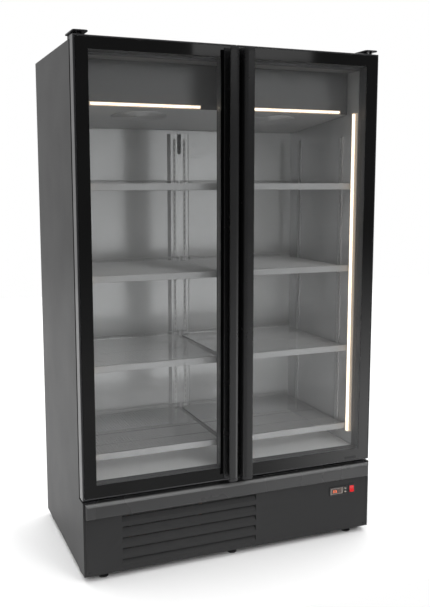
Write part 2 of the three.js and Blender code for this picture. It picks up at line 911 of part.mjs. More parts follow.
add("base_tray", baseTray(), "dark_steel");
add("lower_front_panel", lowerFrontPanel(), "anthracite");
add("sill_bar", alongX(sillSection(), -SILL_BAR_END, SILL_BAR_END), "sill");
addPair("sill_cap", sillCap(), "sill");
add("condenser_unit", condenserUnit(), "aluminium");
const condenserFan = add("condenser_fan", fanBlades(CONDENSER_FAN.radius, 24, 30), "black_plastic");
condenserFan.rotation.x = Math.PI / 2;
condenserFan.position.set(CONDENSER_FAN.x, CONDENSER_FAN.y, CONDENSER_FAN.z);
add("compressor", compressor(), "dark_steel");
add("mains_inlet_box", mainsInletBox(), "black_plastic");

add("controller", controller(), "black_plastic");
add("button_up", controllerButton(BUTTON_Z[0]), "grey_plastic");
add("button_down", controllerButton(BUTTON_Z[1]), "grey_plastic");
add("switch_bezel", switchBezel(), "black_plastic");
add("switch_rocker", rocker(), "red_plastic");

for (const [index, name] of ["left_foot", "centre_foot", "right_foot"].entries()) {
  add(name, levellingFoot(FOOT_X[index]), "rubber");
}
for (const [index, name] of ["front", "rear"].entries()) {
  for (const [side, sign] of [["left", -1], ["right", 1]]) {
    const roller = add(`${side}_${name}_wheel`, wheel(), "rubber");
    roller.position.set(0, WHEEL_Y[index], AXLE_Z);
    roller.scale.x = sign;
  }
}

merchandiser.position.y = -(BODY_BACK - HANDLE_REACH) / 2;

export default merchandiser;
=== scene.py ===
"""Looks for the two-door glass merchandiser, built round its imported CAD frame.

Shapes are drawn in millimetres: x from the centre line, y back from the doors' front plane, z up from the
floor. ROW turns them into the row frame's metres. Pieces that come in left and right pairs are drawn for the
right side, x > 0, and mirrored.
"""

import math

import bmesh
import bpy
from mathutils import Matrix, Vector


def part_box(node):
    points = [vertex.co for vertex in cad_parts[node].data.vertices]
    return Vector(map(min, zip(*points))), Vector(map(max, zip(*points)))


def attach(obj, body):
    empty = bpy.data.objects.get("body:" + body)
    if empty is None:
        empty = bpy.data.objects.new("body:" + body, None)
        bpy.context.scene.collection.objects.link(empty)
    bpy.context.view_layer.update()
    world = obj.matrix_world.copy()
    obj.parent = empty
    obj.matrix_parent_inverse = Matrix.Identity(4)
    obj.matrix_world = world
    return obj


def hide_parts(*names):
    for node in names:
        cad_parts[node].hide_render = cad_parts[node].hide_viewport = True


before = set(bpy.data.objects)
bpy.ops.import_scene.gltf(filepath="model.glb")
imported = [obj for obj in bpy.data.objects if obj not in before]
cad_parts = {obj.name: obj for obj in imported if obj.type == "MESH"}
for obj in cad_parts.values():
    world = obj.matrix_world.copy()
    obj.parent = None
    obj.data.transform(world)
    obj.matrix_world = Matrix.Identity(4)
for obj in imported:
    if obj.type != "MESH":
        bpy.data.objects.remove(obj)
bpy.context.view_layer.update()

DOOR_FACE_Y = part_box("right_door_frame")[0].y
ROW = Matrix.Translation((0, DOOR_FACE_Y, 0)) @ Matrix.Scale(0.001, 4)
SIDES = (("left", -1), ("right", 1))


def cad(node):
    """A CAD node's lowest and highest corner, in the drawing's millimetres."""
    return [ROW.inverted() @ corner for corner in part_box(node)]


# ---- Camera ----

CAMERA_EYE = (-1.268, -3.183, 1.508)
CAMERA_YAW = 22.43
CAMERA_PITCH = 7.57
CAMERA_LENS = 47.9
CAMERA_SHIFT_Y = -0.0236


def make_camera():
    data = bpy.data.cameras.new("camera")
    data.lens = CAMERA_LENS
    data.sensor_width = 36
    data.shift_y = CAMERA_SHIFT_Y
    data.clip_end = 100
    camera = bpy.data.objects.new("camera", data)
    camera.location = CAMERA_EYE
    camera.rotation_euler = (math.radians(90 - CAMERA_PITCH), 0, math.radians(-CAMERA_YAW))
    bpy.context.scene.collection.objects.link(camera)
    bpy.context.scene.camera = camera


make_camera()


# ---- Materials ----


class Paint:
    """A Principled material with helpers that build its node tree."""

    def __init__(self, name, colour, roughness, metallic=0.0, **sockets):
        self.material = bpy.data.materials.new(name)
        self.material.use_nodes = True
        self.nodes = self.material.node_tree.nodes
        self.links = self.material.node_tree.links
        self.shader = next(n for n in self.nodes if n.type == "BSDF_PRINCIPLED")
        self.set("Base Color", (*colour, 1))
        self.set("Roughness", roughness)
        self.set("Metallic", metallic)
        for socket, value in sockets.items():
            self.set(socket.replace("_", " "), value)
        self.where = self.nodes.new("ShaderNodeTexCoord").outputs["Object"]

    def set(self, socket, value):
        self.shader.inputs[socket].default_value = value

    def noise(self, scale, detail=2.0, stretch=(1, 1, 1)):
        """Noise of about scale cells a metre, as a 0 to 1 output."""
        mapping = self.nodes.new("ShaderNodeMapping")
        mapping.inputs["Scale"].default_value = stretch
        texture = self.nodes.new("ShaderNodeTexNoise")
        texture.inputs["Scale"].default_value = scale
        texture.inputs["Detail"].default_value = detail
        self.links.new(self.where, mapping.inputs["Vector"])
        self.links.new(mapping.outputs["Vector"], texture.inputs["Vector"])
        return texture.outputs["Fac"]

    def cells(self, scale):
        texture = self.nodes.new("ShaderNodeTexVoronoi")
        texture.inputs["Scale"].default_value = scale
        self.links.new(self.where, texture.inputs["Vector"])
        return texture.outputs["Distance"]

    def tones(self, factor, low, high, spread=(0.3, 0.7)):
        """Base colour from low to high as factor goes over spread."""
        ramp = self.nodes.new("ShaderNodeValToRGB")
        for element, place, colour in zip(ramp.color_ramp.elements, spread, (low, high)):
            element.position = place
            element.color = (*colour, 1)
        self.links.new(factor, ramp.inputs["Fac"])
        self.links.new(ramp.outputs["Color"], self.shader.inputs["Base Color"])

    def range(self, factor, socket, low, high, spread=(0.3, 0.7)):
        """A shader value from low to high as factor goes over spread."""
        scaled = self.nodes.new("ShaderNodeMapRange")
        for name, value in zip(("From Min", "From Max", "To Min", "To Max"), (*spread, low, high)):
            scaled.inputs[name].default_value = value
        self.links.new(factor, scaled.inputs["Value"])
        self.links.new(scaled.outputs["Result"], self.shader.inputs[socket])

    def bump(self, height, depth):
        """A bump of about depth metres."""
        node = self.nodes.new("ShaderNodeBump")
        node.inputs["Distance"].default_value = depth
        self.links.new(height, node.inputs["Height"])
        self.links.new(node.outputs["Normal"], self.shader.inputs["Normal"])


def shade(colour, factor):
    return tuple(min(1.0, c * factor) for c in colour)


def powder_coat(name, colour, roughness=0.42, specular=0.15):
    """Baked powder paint: fine orange peel, and a slow drift of tone and gloss."""
    paint = Paint(name, colour, roughness, Specular_IOR_Level=specular)
    paint.tones(paint.noise(1.6, 2), shade(colour, 0.975), shade(colour, 1.025))
    paint.range(paint.noise(5, 3), "Roughness", roughness - 0.015, roughness + 0.02)
    paint.bump(paint.noise(420, 3), 0.00006)
    return paint.material


def moulded(name, colour, roughness, grain=900, depth=0.00003):
    """Moulded plastic with a fine spark-eroded grain."""
    paint = Paint(name, colour, roughness)
    paint.tones(paint.noise(6, 2), shade(colour, 0.97), shade(colour, 1.03))
    paint.range(paint.noise(12, 3), "Roughness", roughness - 0.02, roughness + 0.03)
    paint.bump(paint.noise(grain, 2), depth)
    return paint.material


def gloss_black():
    """Black lacquer with faint wiping marks in its gloss."""
    paint = Paint("gloss_black", (0.002, 0.002, 0.002), 0.05, Specular_IOR_Level=0.45)
    paint.tones(paint.noise(5, 2), (0.0012, 0.0012, 0.0013), (0.0026, 0.0026, 0.0027))
    paint.range(paint.noise(9, 5, (1, 1, 0.25)), "Roughness", 0.03, 0.07)
    return paint.material


def lined_sheet(name, colour, metallic=0.4, roughness=0.15):
    """Smooth pale sheet that mirrors the doorway softly, its gloss drifting a little."""
    paint = Paint(name, colour, roughness, metallic=metallic)
    paint.tones(paint.noise(3, 2), shade(colour, 0.98), shade(colour, 1.02))
    paint.range(paint.noise(8, 3), "Roughness", roughness - 0.02, roughness + 0.02)
    return paint.material


def rubber(name, colour=(0.012, 0.012, 0.012)):
    paint = Paint(name, colour, 0.72)
    paint.tones(paint.noise(60, 4), shade(colour, 0.8), shade(colour, 1.5))
    paint.range(paint.noise(40, 3), "Roughness", 0.62, 0.82)
    paint.bump(paint.noise(600, 3), 0.0001)
    return paint.material


def clear_glass(name, ior):
    """Coated low-reflection glass with a slight grey body."""
    paint = Paint(name, (0.93, 0.94, 0.94), 0.0, Transmission_Weight=1.0, IOR=ior)
    paint.tones(paint.noise(4, 4, (1, 1, 0.3)), (0.925, 0.93, 0.93), (0.94, 0.945, 0.945))
    return paint.material


def metal(name, colour, roughness, stretch=(1, 1, 1), grain=60, depth=0.00004):
    """Bare metal whose tone and polish follow its drawing direction."""
    paint = Paint(name, colour, roughness, metallic=1.0)
    streaks = paint.noise(grain, 4, stretch)
    paint.tones(streaks, shade(colour, 0.85), shade(colour, 1.1))
    paint.range(streaks, "Roughness", roughness - 0.06, roughness + 0.1)
    paint.bump(streaks, depth)
    return paint.material


def foam():
    paint = Paint("rigid_foam", (0.78, 0.68, 0.4), 0.9)
    paint.tones(paint.cells(260), (0.83, 0.74, 0.48), (0.7, 0.6, 0.33), (0.1, 0.8))
    paint.bump(paint.cells(260), 0.0004)
    return paint.material


def lamp_cover(strength):
    """A frosted cover over a row of warm white diodes, a little brighter over each."""
    paint = Paint("lamp_cover", (0.95, 0.93, 0.88), 0.35)
    paint.set("Emission Color", (1.0, 0.82, 0.62, 1))
    paint.range(paint.noise(90, 1), "Emission Strength", strength * 0.85, strength * 1.15)
    return paint.material


def glowing(name, colour, strength):
    paint = Paint(name, shade(colour, 0.4), 0.3)
    paint.set("Emission Color", (*colour, 1))
    paint.range(paint.noise(700, 1), "Emission Strength", strength * 0.8, strength * 1.2)
    return paint.material


ANTHRACITE = (0.022, 0.022, 0.0223)

PAINT = {
    "body": powder_coat("body_powder_coat", ANTHRACITE),
    "front": powder_coat("front_powder_coat", shade(ANTHRACITE, 1.1), 0.4),
    "sill": powder_coat("sill_powder_coat", (0.034, 0.034, 0.0345), 0.27, 0.45),
    # Paler paint for the sill's rounded top edge: a painted highlight, not a coat of its own.
    "sill_highlight": powder_coat("sill_painted_highlight", (0.1, 0.1, 0.1), 0.27, 0.45),
    "sill_cap": moulded("sill_cap_plastic", (0.034, 0.034, 0.0345), 0.36),
    "black_steel": powder_coat("black_powder_coat", (0.02, 0.02, 0.022), 0.4),
    "gloss_black": gloss_black(),
    "door_side": moulded("door_side_plastic", (0.02, 0.02, 0.022), 0.3, depth=0.00001),
    "grip": moulded("grip_plastic", (0.013, 0.013, 0.0135), 0.25, depth=0.00001),
    "liner": lined_sheet("liner_sheet", (0.52, 0.521, 0.524)),
    "column": lined_sheet("column_sheet", (0.55, 0.551, 0.554)),
    # Lighter and darker copies of the liner sheet for its floor and ceiling: painted light and painted shade.
    "liner_floor_light": lined_sheet("liner_floor_painted_light", (0.74, 0.741, 0.744), 0.05, 0.35),
    "ceiling_shade": lined_sheet("ceiling_painted_shade", (0.16, 0.161, 0.163), 0.0, 0.5),
    "underside": lined_sheet("underside_sheet", (0.52, 0.521, 0.524), 0.1, 0.38),
    "strip": powder_coat("strip_powder_coat", (0.46, 0.461, 0.464), 0.4),
    "slot_shadow": powder_coat("slot_shadow_coat", (0.2, 0.2, 0.202), 0.5),
    # The evaporator housing's front face, far darker than its underside: painted shade.
    "canopy_shade": lined_sheet("canopy_painted_shade", (0.07, 0.0705, 0.071), 0.1, 0.22),
    "reveal": moulded("reveal_plastic", (0.035, 0.036, 0.038), 0.4),
    "shelf": powder_coat("shelf_powder_coat", (0.31, 0.31, 0.311), 0.36),
    "frame_plastic": moulded("frame_plastic", (0.05, 0.05, 0.053), 0.45),
    "black_plastic": moulded("black_plastic", (0.012, 0.012, 0.013), 0.42),
    "grey_face": moulded("controller_face", (0.15, 0.13, 0.115), 0.4),
    "display": moulded("display_window", (0.06, 0.035, 0.03), 0.15),
    "button": moulded("button_plastic", (0.24, 0.215, 0.19), 0.45),
    "red": moulded("red_plastic", (0.62, 0.018, 0.022), 0.22, depth=0.00002),
    "rubber": rubber("gasket_rubber", (0.045, 0.045, 0.047)),
    "foot": rubber("foot_rubber", (0.018, 0.018, 0.018)),
    "wheel": moulded("wheel_nylon", (0.016, 0.016, 0.017), 0.5),
    "front_glass": clear_glass("front_glass", 1.28),
    "rear_glass": clear_glass("rear_glass", 1.06),
    "zinc": metal("zinc_coated_steel", (0.6, 0.61, 0.63), 0.38, (1, 1, 1), 18),
    "steel": metal("bright_steel", (0.62, 0.62, 0.63), 0.3, (6, 6, 6), 40),
    "aluminium": metal("aluminium", (0.75, 0.76, 0.78), 0.33, (1, 8, 8), 30),
    "copper": metal("copper", (0.72, 0.36, 0.22), 0.3, (4, 4, 4), 50),
    "foam": foam(),
    "lamp": lamp_cover(1.8),
    # The lamp channels are no lamps: their faint emission is a painted glow round the covers.
    "channel_painted_glow": glowing("lamp_channel_glow", (1.0, 0.8, 0.62), 0.3),
    "digit": glowing("display_digit", (1.0, 0.16, 0.03), 2.4),
}


# ---- Shape helpers ----


def loft(bm, rings, closed=False):
    """Skins rings of points that have the same count, with a cap at each end unless the rings close."""
    rows = [[bm.verts.new(point) for point in ring] for ring in rings]
    following = rows[1:] + (rows[:1] if closed else [])
    for a, b in zip(rows, following):
        for i in range(len(a)):
            j = (i + 1) % len(a)
            bm.faces.new((a[i], a[j], b[j], b[i]))
    if not closed:
        bm.faces.new(rows[0][::-1])
        bm.faces.new(rows[-1])


def filleted(corners, segments=5):
    """An outline whose corners, given as (a, b, radius), are rounded with arcs."""
    points = []
    for i, (a, b, radius) in enumerate(corners):
        here = Vector((a, b))
        if not radius:
            points.append(here)
            continue
        before = (Vector(corners[i - 1][:2]) - here).normalized()
        after = (Vector(corners[(i + 1) % len(corners)][:2]) - here).normalized()
        half = before.angle(after) / 2
        centre = here + (before + after).normalized() * radius / math.sin(half)
        start = here + before * radius / math.tan(half) - centre
        end = here + after * radius / math.tan(half) - centre
        turn = start.angle_signed(end)
        for step in range(segments + 1):
            points.append(centre + Matrix.Rotation(-turn * step / segments, 2) @ start)
    return [tuple(point) for point in points]


def place(axis, a, b, c):
    """A point from its two coordinates across an axis, in x, y, z order, and its place c along it."""
    return {"x": (c, a, b), "y": (a, c, b), "z": (a, b, c)}[axis]


def prism(bm, axis, outline, low, high):
    loft(bm, [[place(axis, a, b, c) for a, b in outline] for c in (low, high)])


def lathe(bm, axis, centre, profile, sides=32):
    """A body of revolution about a row axis through centre (the two coordinates across it)."""
    rings = []
    for radius, along in profile:
        ring = []
        for i in range(sides):
            angle = 2 * math.pi * i / sides
            a = centre[0] + radius * math.cos(angle)
            b = centre[1] + radius * math.sin(angle)
            ring.append(place(axis, a, b, along))
        rings.append(ring)
    loft(bm, rings)


def tube(bm, points, radius, sides=8, closed=False):
    """A round bar along a path."""
    path = [Vector(point) for point in points]
    count = len(path)
    rings = []
    across = None
    for i, point in enumerate(path):
        if closed:
            ahead = path[(i + 1) % count] - path[i - 1]
        else:
            ahead = path[min(i + 1, count - 1)] - path[max(i - 1, 0)]
        ahead.normalize()
        if across is None:
            across = ahead.orthogonal().normalized()
        across = (across - ahead * across.dot(ahead)).normalized()
        other = ahead.cross(across)
        turns = [2 * math.pi * k / sides for k in range(sides)]
        rings.append([point + (across * math.cos(t) + other * math.sin(t)) * radius for t in turns])
    loft(bm, rings, closed)


def block(bm, low, high, edge=0.0, segments=2):
    """A box with rounded edges."""
    centre = (Vector(low) + Vector(high)) / 2
    size = Vector(high) - Vector(low)
    matrix = Matrix.Translation(centre) @ Matrix.Diagonal((*size, 1))
    made = bmesh.ops.create_cube(bm, size=1, matrix=matrix)
    if edge:
        edges = list({e for v in made["verts"] for e in v.link_edges})
        bmesh.ops.bevel(bm, geom=edges, offset=edge, segments=segments, affect="EDGES", profile=0.5)


def frame_ring(bm, stations):
    """A mitred frame swept round a rectangle. Each station is (x0, x1, z0, z1) and its y."""
    loft(bm, [[(x0, y, z0), (x1, y, z0), (x1, y, z1), (x0, y, z1)] for (x0, x1, z0, z1), y in stations], True)


def inset(rectangle, distance):
    x0, x1, z0, z1 = rectangle
    return (x0 + distance, x1 - distance, z0 + distance, z1 - distance)


def screw_head(bm, axis, centre, base, height, radius=4.5):
    """A pan head with a cross recess, standing from base by height along the axis."""
    crown = [(radius, 0), (radius, 0.35), (radius * 0.9, 0.75), (radius * 0.62, 1.0)]
    profile = [(r, base + height * t) for r, t in crown]
    profile += [(radius * 0.5, base + height), (radius * 0.3, base + height * 0.45)]
    lathe(bm, axis, centre, profile, 12)


def piece(name, bm, material, body, replaced=(), side=1, shadow=True, edge=0.0):
    """Turns a drawing into an object of the row frame that rides on a body. edge rounds its sharp edges."""
    if side < 0:
        bmesh.ops.scale(bm, vec=(-1, 1, 1), verts=bm.verts)
    bmesh.ops.recalc_face_normals(bm, faces=bm.faces)
    bmesh.ops.transform(bm, matrix=ROW, verts=bm.verts)
    mesh = bpy.data.meshes.new(name)
    bm.to_mesh(mesh)
    bm.free()
    mesh.materials.append(material)
    mesh.shade_smooth()
    mesh.set_sharp_from_angle(angle=math.radians(35))
    obj = bpy.data.objects.new(name, mesh)
    obj.visible_shadow = shadow
    bpy.context.scene.collection.objects.link(obj)
    if edge:
        rounding = obj.modifiers.new("edges", "BEVEL")
        rounding.width = edge * 0.001
        rounding.segments = 2
        rounding.limit_method = "ANGLE"
        rounding.angle_limit = math.radians(38)
        rounding.harden_normals = True
    else:
        weighting = obj.modifiers.new("normals", "WEIGHTED_NORMAL")
        weighting.keep_sharp = True
    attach(obj, body)
    if replaced:
        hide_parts(*replaced)
    return obj


def softened(node, material, body="cabinet", edge=0.6):
    """A CAD node's own shape with its flat faces merged and its edges rounded."""
    bm = bmesh.new()
    bm.from_mesh(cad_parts[node].data)
    bmesh.ops.remove_doubles(bm, verts=bm.verts, dist=1e-6)
    bmesh.ops.dissolve_limit(bm, angle_limit=math.radians(0.5), verts=bm.verts, edges=bm.edges)
    bmesh.ops.transform(bm, matrix=ROW.inverted(), verts=bm.verts)
    return piece(node + "_skin", bm, material, body, [node], edge=edge)


# ---- Cabinet skin ----


def cabinet_skin():
    """The painted shell, and the liner, whose up-facing floor faces take a paler copy of its sheet as painted
    light and whose down-facing ceiling faces take a darker copy as painted shade.
    """
    for name, _ in SIDES:
        softened(f"{name}_side_panel", PAINT["body"], edge=0.45)
    softened("top_panel", PAINT["body"], edge=0.4)
    softened("back_panel", PAINT["zinc"], edge=0.3)
    softened("face_frame", PAINT["frame_plastic"], edge=1.2)
    softened("centre_mullion", PAINT["column"], edge=1.5)
    softened("base_tray", PAINT["black_steel"], edge=0.4)
    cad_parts["insulation_foam"].data.materials.clear()
    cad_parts["insulation_foam"].data.materials.append(PAINT["foam"])
    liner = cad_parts["inner_liner"]
    liner.data.materials.clear()
    for paint in ("liner", "liner_floor_light", "ceiling_shade"):
        liner.data.materials.append(PAINT[paint])
    # Up-facing faces get the painted light, down-facing faces the painted shade.
    for face in liner.data.polygons:
        if abs(face.normal.z) > 0.9:
            face.material_index = 1 if face.normal.z > 0 else 2


def back_screws():
    low, high = cad("back_panel")
    bm = bmesh.new()
    columns = [low.x + 20, -300, 300, high.x - 20]
    rows = [low.z + 18 + i * (high.z - low.z - 36) / 7 for i in range(8)]
    for x in columns:
        for z in rows:
            if x in (columns[0], columns[-1]) or z in (rows[0], rows[-1]):
                screw_head(bm, "y", (x, z), high.y - 1.6, 1.5)
    piece("back_panel_screws", bm, PAINT["steel"], "cabinet")


cabinet_skin()
back_screws()

# ---- Shelves and their supports ----


def slotted_strip(bm, across, thickness, z0, z1, pitch=25.0, slot=(4.0, 14.0)):
    """An upright strip with a row of slots. across(a, t) gives x, y from the place over and through it."""
    half_width, half_slot = 9.0, slot[0] / 2
    count = int((z1 - z0) / pitch)
    levels = [z0]
    for i in range(count):
        middle = z0 + pitch * (i + 0.5)
        levels += [middle - slot[1] / 2, middle + slot[1] / 2]
    levels.append(z1)
    for t in (0, thickness):
        rows = []
        for z in levels:
            edges = (-half_width, -half_slot, half_slot, half_width)
            rows.append([bm.verts.new((*across(a, t), z)) for a in edges])
        for i, (low, high) in enumerate(zip(rows, rows[1:])):
            for column in range(3):
                if column == 1 and i % 2:
                    continue
                bm.faces.new((low[column], low[column + 1], high[column + 1], high[column]))


def shelf_ladders():
    """Slotted strips on the liner's ribs and on the rear column."""
    rib = cad("inner_liner")[1].x - 2 - 4
    column = cad("rear_column")
    for name, side in SIDES:
        bm = bmesh.new()
        for y in (200, 572):
            slotted_strip(bm, lambda a, t, y=y: (rib - 0.6 + t * 0.4, y + a), 1, 405, 1695)
        slotted_strip(bm, lambda a, t: (24 + a * 0.7, column[0].y - 0.5 + t * 0.4), 1, 390, 1700)
        piece(f"{name}_shelf_ladders", bm, PAINT["strip"], "cabinet", side=side)
        bm = bmesh.new()
        block(bm, (21, column[0].y - 0.08, 395), (27, column[0].y, 1695))
        piece(f"{name}_ladder_shadow", bm, PAINT["slot_shadow"], "cabinet", side=side)


def shelf_clips():
    """A bent clip under each shelf corner."""
    rib = cad("inner_liner")[1].x - 2 - 4
    column_front = cad("rear_column")[0].y
    for name, side in SIDES:
        bm = bmesh.new()
        for level in range(1, 5):
            deck = cad(f"right_shelf_{level}")[1].z - 22
            for y in (200, 572):
                block(bm, (rib - 8, y - 7, deck - 3), (rib - 0.8, y + 7, deck - 0.4), 0.6)
                block(bm, (rib - 2.6, y - 5, deck - 22), (rib - 0.8, y + 5, deck - 2), 0.5)
            block(bm, (17, column_front - 16, deck - 3), (31, column_front - 0.8, deck - 0.4), 0.6)
            block(bm, (19, column_front - 2.6, deck - 24), (29, column_front - 0.8, deck - 2), 0.5)
        piece(f"{name}_shelf_clips", bm, PAINT["steel"], "cabinet", side=side)


def wire_shelf(name, side, level):
    """A folded front strip, flat side bars, a two-rail back stop and a welded wire deck."""
    low, high = cad(f"right_shelf_{level}")
    middle = high.z - 26
    bm = bmesh.new()
    front = [
        (low.y, middle - 13, 2.2),
        (low.y, middle + 13, 2.2),
        (low.y + 9, middle + 13, 0.6),
        (low.y + 9, middle + 11.8, 0.4),
        (low.y + 1.4, middle + 11.8, 0.8),
        (low.y + 1.4, middle - 11.8, 0.8),
        (low.y + 9, middle - 11.8, 0.4),
        (low.y + 9, middle - 13, 0.6),
    ]
    prism(bm, "x", filleted(front, 4), low.x, high.x)
    for x in (low.x + 1, high.x - 3.6):
        block(bm, (x, low.y + 1.8, middle - 6), (x + 2.6, high.y - 1.2, middle + 4.8), 0.6)
    for z in (middle + 6.5, middle + 23.5):
        tube(bm, [(low.x + 2, high.y - 2.6, z), (high.x - 2, high.y - 2.6, z)], 2.4, 8)
    uprights = 10
    for i in range(uprights + 1):
        x = low.x + 4 + i * (high.x - low.x - 8) / uprights
        tube(bm, [(x, high.y - 2.6, middle + 6), (x, high.y - 2.6, middle + 24)], 1.7, 6)
    for i in range(1, 4):
        y = low.y + i * (high.y - low.y) / 4
        tube(bm, [(low.x + 2, y, middle + 2.6), (high.x - 2, y, middle + 2.6)], 1.8, 8)
    pitch = 13.0
    for i in range(1, int((high.x - low.x - 4) / pitch)):
        x = low.x + 2 + i * pitch
        tube(bm, [(x, low.y + 1.5, middle + 5.2), (x, high.y - 2.5, middle + 5.2)], 0.95, 5)
    for i in range(1, int((high.y - low.y - 4) / pitch)):
        y = low.y + 2 + i * pitch
        tube(bm, [(low.x + 1.5, y, middle + 6.9), (high.x - 1.5, y, middle + 6.9)], 0.9, 5)
    node = f"{name}_shelf_{level}"
    piece(node + "_wire", bm, PAINT["shelf"], "cabinet", [node], side)


def rear_column():
    softened("rear_column", PAINT["column"], edge=0)
    front = cad("rear_column")[0].y
    bm = bmesh.new()
    outline = filleted([(-8.8, 1631.3, 8.6), (8.8, 1631.3, 8.6), (8.8, 1721, 0), (-8.8, 1721, 0)], 6)
    prism(bm, "y", outline, front + 1.5, front + 7.8)
    piece("rear_column_duct", bm, PAINT["frame_plastic"], "cabinet")


shelf_ladders()
shelf_clips()
rear_column()
for side_name, side_sign in SIDES:
    for shelf_level in range(1, 5):
        wire_shelf(side_name, side_sign, shelf_level)

# ---- Evaporator ----


def fin_block(bm, x0, x1, y0, y1, z0, z1, pitch):
    """Thin upright fins on rows of tubes."""
    count = int((x1 - x0) / pitch)
    for i in range(count + 1):
        x = x0 + i * (x1 - x0) / count
        block(bm, (x - 0.25, y0, z0), (x + 0.25, y1, z1))


def coil_tubes(bm, x0, x1, y0, y1, z0, z1, rows, ranks, radius):
    """Straight tubes through the fins, joined by return bends at their ends."""
    for rank in range(ranks):
        y = y0 + (rank + 0.5) * (y1 - y0) / ranks
        for row in range(rows):
            z = z0 + (row + 0.5) * (z1 - z0) / rows
            tube(bm, [(x0, y, z), (x1, y, z)], radius, 8)
        step = (z1 - z0) / rows
        for row in range(rows - 1):
            end, outward = (x1, 1) if row % 2 else (x0, -1)
            z = z0 + (row + 1) * step
            bend = []
            for k in range(7):
                angle = math.pi * (k / 6 - 0.5)
                bend.append((end + outward * step / 2 * math.cos(angle), y, z + step / 2 * math.sin(angle)))
            tube(bm, bend, radius, 8)


def evaporator():
    housing = softened("evaporator_housing", PAINT["underside"], edge=0.6)
    housing.data.materials.append(PAINT["canopy_shade"])
    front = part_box("evaporator_housing")[0].y
    # The front face takes the darker copy of the housing's sheet: painted shade.
    for face in housing.data.polygons:
        if abs(face.normal.y) > 0.9 and abs(face.center.y - front) < 0.001:
            face.material_index = 1
    low, high = cad("evaporator_coil")
    bm = bmesh.new()
    fin_block(bm, low.x + 20, high.x - 20, low.y, high.y, low.z, high.z, 9)
    piece("evaporator_fins", bm, PAINT["aluminium"], "cabinet", ["evaporator_coil"])
    bm = bmesh.new()
    coil_tubes(bm, low.x + 18, high.x - 18, low.y + 6, high.y - 6, low.z + 6, high.z - 6, 4, 4, 4.5)
    piece("evaporator_tubes", bm, PAINT["copper"], "cabinet")


def fan_guards():
    """Wire rings and spokes over the two openings in the housing's sloping underside."""
    low, high = cad("evaporator_housing")
    front_z, fall = 1788, -48
    slope = fall / (high.y - low.y)
    inner, outer, pitch = 10, 113, 5
    ring_radius, spoke_radius = 2.35, 1.7
    for name, side in SIDES:
        fan_low, fan_high = cad(f"{name}_evaporator_fan")
        centre = (fan_low + fan_high) / 2

        def on_underside(dx, dy, drop=1.8):
            y = centre.y + dy
            return (centre.x + dx, y, front_z + slope * (y - low.y) - drop)

        bm = bmesh.new()
        turns = [2 * math.pi * k / 40 for k in range(40)]
        for radius in range(inner, outer, pitch):
            ring = [on_underside(radius * math.cos(t), radius * math.sin(t)) for t in turns]
            tube(bm, ring, ring_radius, 6, closed=True)
        for k in range(6):
            t = math.pi * k / 3 + 0.4
            spoke = [on_underside(r * math.cos(t), r * math.sin(t), 0.4) for r in (inner, 60, outer)]
            tube(bm, spoke, spoke_radius, 6)
        piece(f"{name}_fan_guard", bm, PAINT["underside"], "cabinet")


def fan_blades(name, body, axis, blades, radius, hub, depth, paint="black_plastic"):
    """A hub with a domed face and curved, twisted blades."""
    low, high = cad(name)
    centre = (low + high) / 2
    bm = bmesh.new()
    half = depth / 2
    profile = [(5.0, -half), (hub - 2, -half), (hub, -half + 2)]
    profile += [(hub, half - 2), (hub - 2, half), (5.0, half)]
    lathe(bm, "z", (0, 0), profile, 28)
    steps = 8
    for blade in range(blades):
        start = 2 * math.pi * blade / blades
        sheets = []
        for surface in (0.6, -0.6):
            rows = []
            for i in range(steps + 1):
                r = hub - 3 + (radius - hub + 3) * i / steps
                row = []
                for j in range(steps + 1):
                    across = j / steps - 0.5
                    spread = 0.95 - 0.25 * i / steps
                    angle = start + spread * across * 1.15 + 0.25 * (i / steps) ** 2
                    lift = -across * (depth - 7) + 3.0 * math.cos(across * math.pi) - 2
                    row.append((r * math.cos(angle), r * math.sin(angle), lift + surface))
                rows.append(row)
            sheets.append(rows)
        top = [[bm.verts.new(p) for p in row] for row in sheets[0]]
        under = [[bm.verts.new(p) for p in row] for row in sheets[1]]
        for i in range(steps):
            for j in range(steps):
                bm.faces.new((top[i][j], top[i + 1][j], top[i + 1][j + 1], top[i][j + 1]))
                bm.faces.new((under[i][j + 1], under[i + 1][j + 1], under[i + 1][j], under[i][j]))
        rim = [(i, 0) for i in range(steps)] + [(steps, j) for j in range(steps)]
        rim += [(i, steps) for i in range(steps, 0, -1)] + [(0, j) for j in range(steps, 0, -1)]
        for (i, j), (k, m) in zip(rim, rim[1:] + rim[:1]):
            bm.faces.new((top[i][j], top[k][m], under[k][m], under[i][j]))
    if axis == "y":
        bmesh.ops.rotate(bm, cent=(0, 0, 0), matrix=Matrix.Rotation(math.pi / 2, 3, "X"), verts=bm.verts)
    bmesh.ops.translate(bm, vec=centre, verts=bm.verts)
    piece(f"{name}_blades", bm, PAINT[paint], body, [name])


evaporator()
fan_guards()
for side_name, _ in SIDES:
    fan_node = f"{side_name}_evaporator_fan"
    fan_blades(fan_node, fan_node, "z", 5, 96, 22, 34, "liner")

# ---- Lamps ----


def horizontal_lamps():
    low, high = cad("right_horizontal_lamp")
    for name, side in SIDES:
        bm = bmesh.new()
        cover = [
            (high.y - 6, low.z + 3.4, 0),
            (low.y + 3, low.z + 3.4, 2),
            (low.y, low.z + 5.8, 1.5),
            (low.y, high.z - 5.8, 1.5),
            (low.y + 3, high.z - 3.4, 2),
            (high.y - 6, high.z - 3.4, 0),
        ]
        prism(bm, "x", filleted(cover), low.x + 4, high.x - 4)
        node = f"{name}_horizontal_lamp"
        piece(node + "_cover", bm, PAINT["lamp"], "cabinet", [node], side)
        bm = bmesh.new()
        block(bm, (low.x, high.y - 6.2, low.z), (high.x, high.y, high.z), 0.8)
        for x in (low.x, high.x - 4):
            block(bm, (x, low.y + 0.4, low.z + 0.2), (x + 4, high.y - 1, high.z - 0.2), 1.5)
        # The channel's faint emission is a painted glow.
        piece(node + "_channel", bm, PAINT["channel_painted_glow"], "cabinet", side=side)


